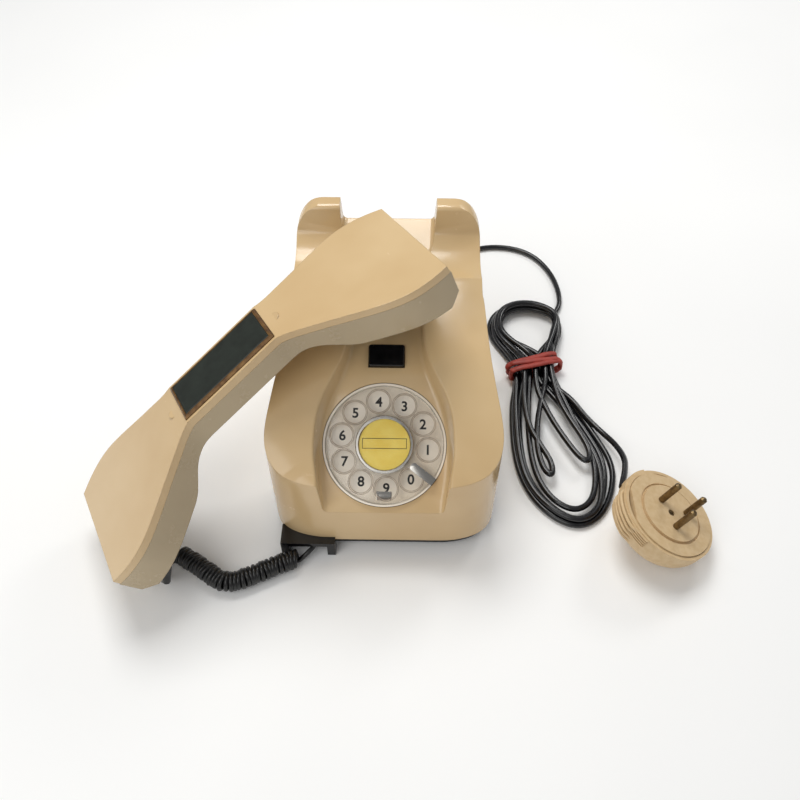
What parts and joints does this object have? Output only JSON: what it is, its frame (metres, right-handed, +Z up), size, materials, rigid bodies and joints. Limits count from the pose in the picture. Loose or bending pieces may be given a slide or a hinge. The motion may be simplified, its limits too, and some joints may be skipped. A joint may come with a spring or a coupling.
{
  "type": "rotary telephone",
  "caption": "Desk rotary telephone with keyhole channel, clear finger wheel, flat-backed handset lying across the body, curly cord and tied line cord with round-pin plug.",
  "frame": {"origin": "middle of the body's base ring on the table", "axes": "+Z up, +X to the right of the dial, +Y from the dial to the back"},
  "size_m": [0.3877, 0.3402, 0.1644],
  "materials": {
    "casing_plastic": "gloss moulded ABS, aged beige",
    "handset_grey_beige": "gloss moulded ABS, greyed on the sides",
    "base_black": "satin black base",
    "foot_rubber": "matte rubber",
    "screw_steel": "turned steel",
    "black_plastic": "black thermoset, half gloss",
    "cord_black": "black curly cord, satin",
    "line_cord_black": "black PVC, glossy",
    "spring_steel": "spring wire",
    "bracket_steel": "zinc-plated sheet",
    "dial_cream": "cream plastic",
    "wheel_clear": "clear acrylic wheel",
    "cover_clear": "clear cover",
    "card_yellow": "yellow paper card",
    "chrome_trim": "polished chrome",
    "gear_brass": "machined brass",
    "gong_brass": "polished gong",
    "coil_wrap": "varnished winding tape",
    "can_aluminium": "drawn can",
    "inlay_bronze": "bronze-painted edge",
    "inlay_black": "black-green satin plate",
    "tie_red": "red rubber band",
    "plug_beige": "matte aged plastic",
    "pin_brass": "tarnished brass"
  },
  "bodies": {
    "root": {"casing": "casing_plastic", "base_plate": "base_black", "foot_ring": "foot_rubber", "casing_screws": "screw_steel", "handset_cord_outlet": "black_plastic", "line_cord_grommet": "cord_black", "recall_key_spring": "spring_steel", "recall_key_switch": "bracket_steel", "hook_spring": "spring_steel", "hook_switch_contacts": "bracket_steel", "dial_pan": "dial_cream", "number_plate": "dial_cream", "finger_stop": "chrome_trim", "dial_latch": "spring_steel", "dial_frame_plate": "bracket_steel", "dial_pillars": "gear_brass", "dial_back_plate": "bracket_steel", "return_spring": "spring_steel", "governor_drum": "gear_brass", "pulse_contacts": "black_plastic", "bell_gong_left": "gong_brass", "bell_gong_right": "gong_brass", "bell_bracket": "bracket_steel", "ringer_coils": "coil_wrap", "induction_coil": "coil_wrap", "capacitor": "can_aluminium", "terminal_board": "black_plastic", "handset_cord_coil": "cord_black", "handset_cord_tail": "cord_black", "gate_cord_tail": "cord_black", "line_cord": "line_cord_black", "line_cord_hank": "line_cord_black", "cord_tie": "tie_red", "plug_cap": "plug_beige", "plug_face": "plug_beige", "plug_pins": "pin_brass", "plug_screw": "pin_brass"},
    "recall_key": {"recall_key": "black_plastic"},
    "hook_plungers": {"hook_plungers": "black_plastic"},
    "finger_wheel": {"finger_wheel": "wheel_clear", "wheel_hub_ring": "chrome_trim", "number_card": "card_yellow", "card_cover": "cover_clear", "main_shaft": "screw_steel", "main_gear": "gear_brass"},
    "pulse_wheel": {"pulse_wheel": "gear_brass"},
    "governor": {"governor_rotor": "gear_brass"},
    "bell_clapper": {"bell_clapper": "screw_steel"},
    "handset": {"handset_upper_shell": "casing_plastic", "handset_lower_shell": "handset_grey_beige", "grip_inlay_frame": "inlay_bronze", "grip_inlay": "inlay_black", "ear_cap": "black_plastic", "mouth_cap": "black_plastic", "receiver_capsule": "can_aluminium", "microphone_capsule": "can_aluminium", "handset_screws": "screw_steel", "handset_strain_relief": "cord_black"}
  },
  "joints": [
    {"name": "handset_lift", "type": "slide", "parent": "root", "child": "handset", "axis": [0, 0, 1], "range_m": [0, 0.12], "deforming": ["handset_cord_coil", "handset_cord_tail"]},
    {"name": "wheel_turn", "type": "hinge", "parent": "root", "child": "finger_wheel", "pos_m": [0, -0.054, 0.066], "axis": [0, -0.5446, 0.8387], "range_deg": [-340, 0], "stiffness_Nm_per_rad": 0.004, "springref_deg": 20.05},
    {"name": "pulse_turn", "type": "hinge", "parent": "root", "child": "pulse_wheel", "pos_m": [0.0135, -0.03439, 0.07873], "axis": [0, -0.5446, 0.8387], "range_deg": [0, 1360]},
    {"name": "governor_turn", "type": "hinge", "parent": "root", "child": "governor", "pos_m": [0.00259, -0.02911, 0.08217], "axis": [0, -0.5446, 0.8387], "range_deg": [-3400, 0]},
    {"name": "key_push", "type": "slide", "parent": "root", "child": "recall_key", "axis": [0, -0.3173, 0.9483], "range_m": [-0.0025, 0], "stiffness_N_per_m": 150, "springref_m": 0.002, "deforming": ["recall_key_spring"]},
    {"name": "plunger_push", "type": "slide", "parent": "root", "child": "hook_plungers", "axis": [0, 0, 1], "range_m": [-0.0035, 0], "stiffness_N_per_m": 150, "springref_m": 0.002, "deforming": ["hook_spring"]},
    {"name": "clapper_swing", "type": "hinge", "parent": "root", "child": "bell_clapper", "pos_m": [0, 0.005, 0.038], "axis": [0, 1, 0], "range_deg": [-3, 3], "stiffness_Nm_per_rad": 0.002}
  ],
  "couplings": [
    {"joint": "pulse_turn", "follows": "wheel_turn", "ratio": -4},
    {"joint": "governor_turn", "follows": "wheel_turn", "ratio": 10}
  ]
}
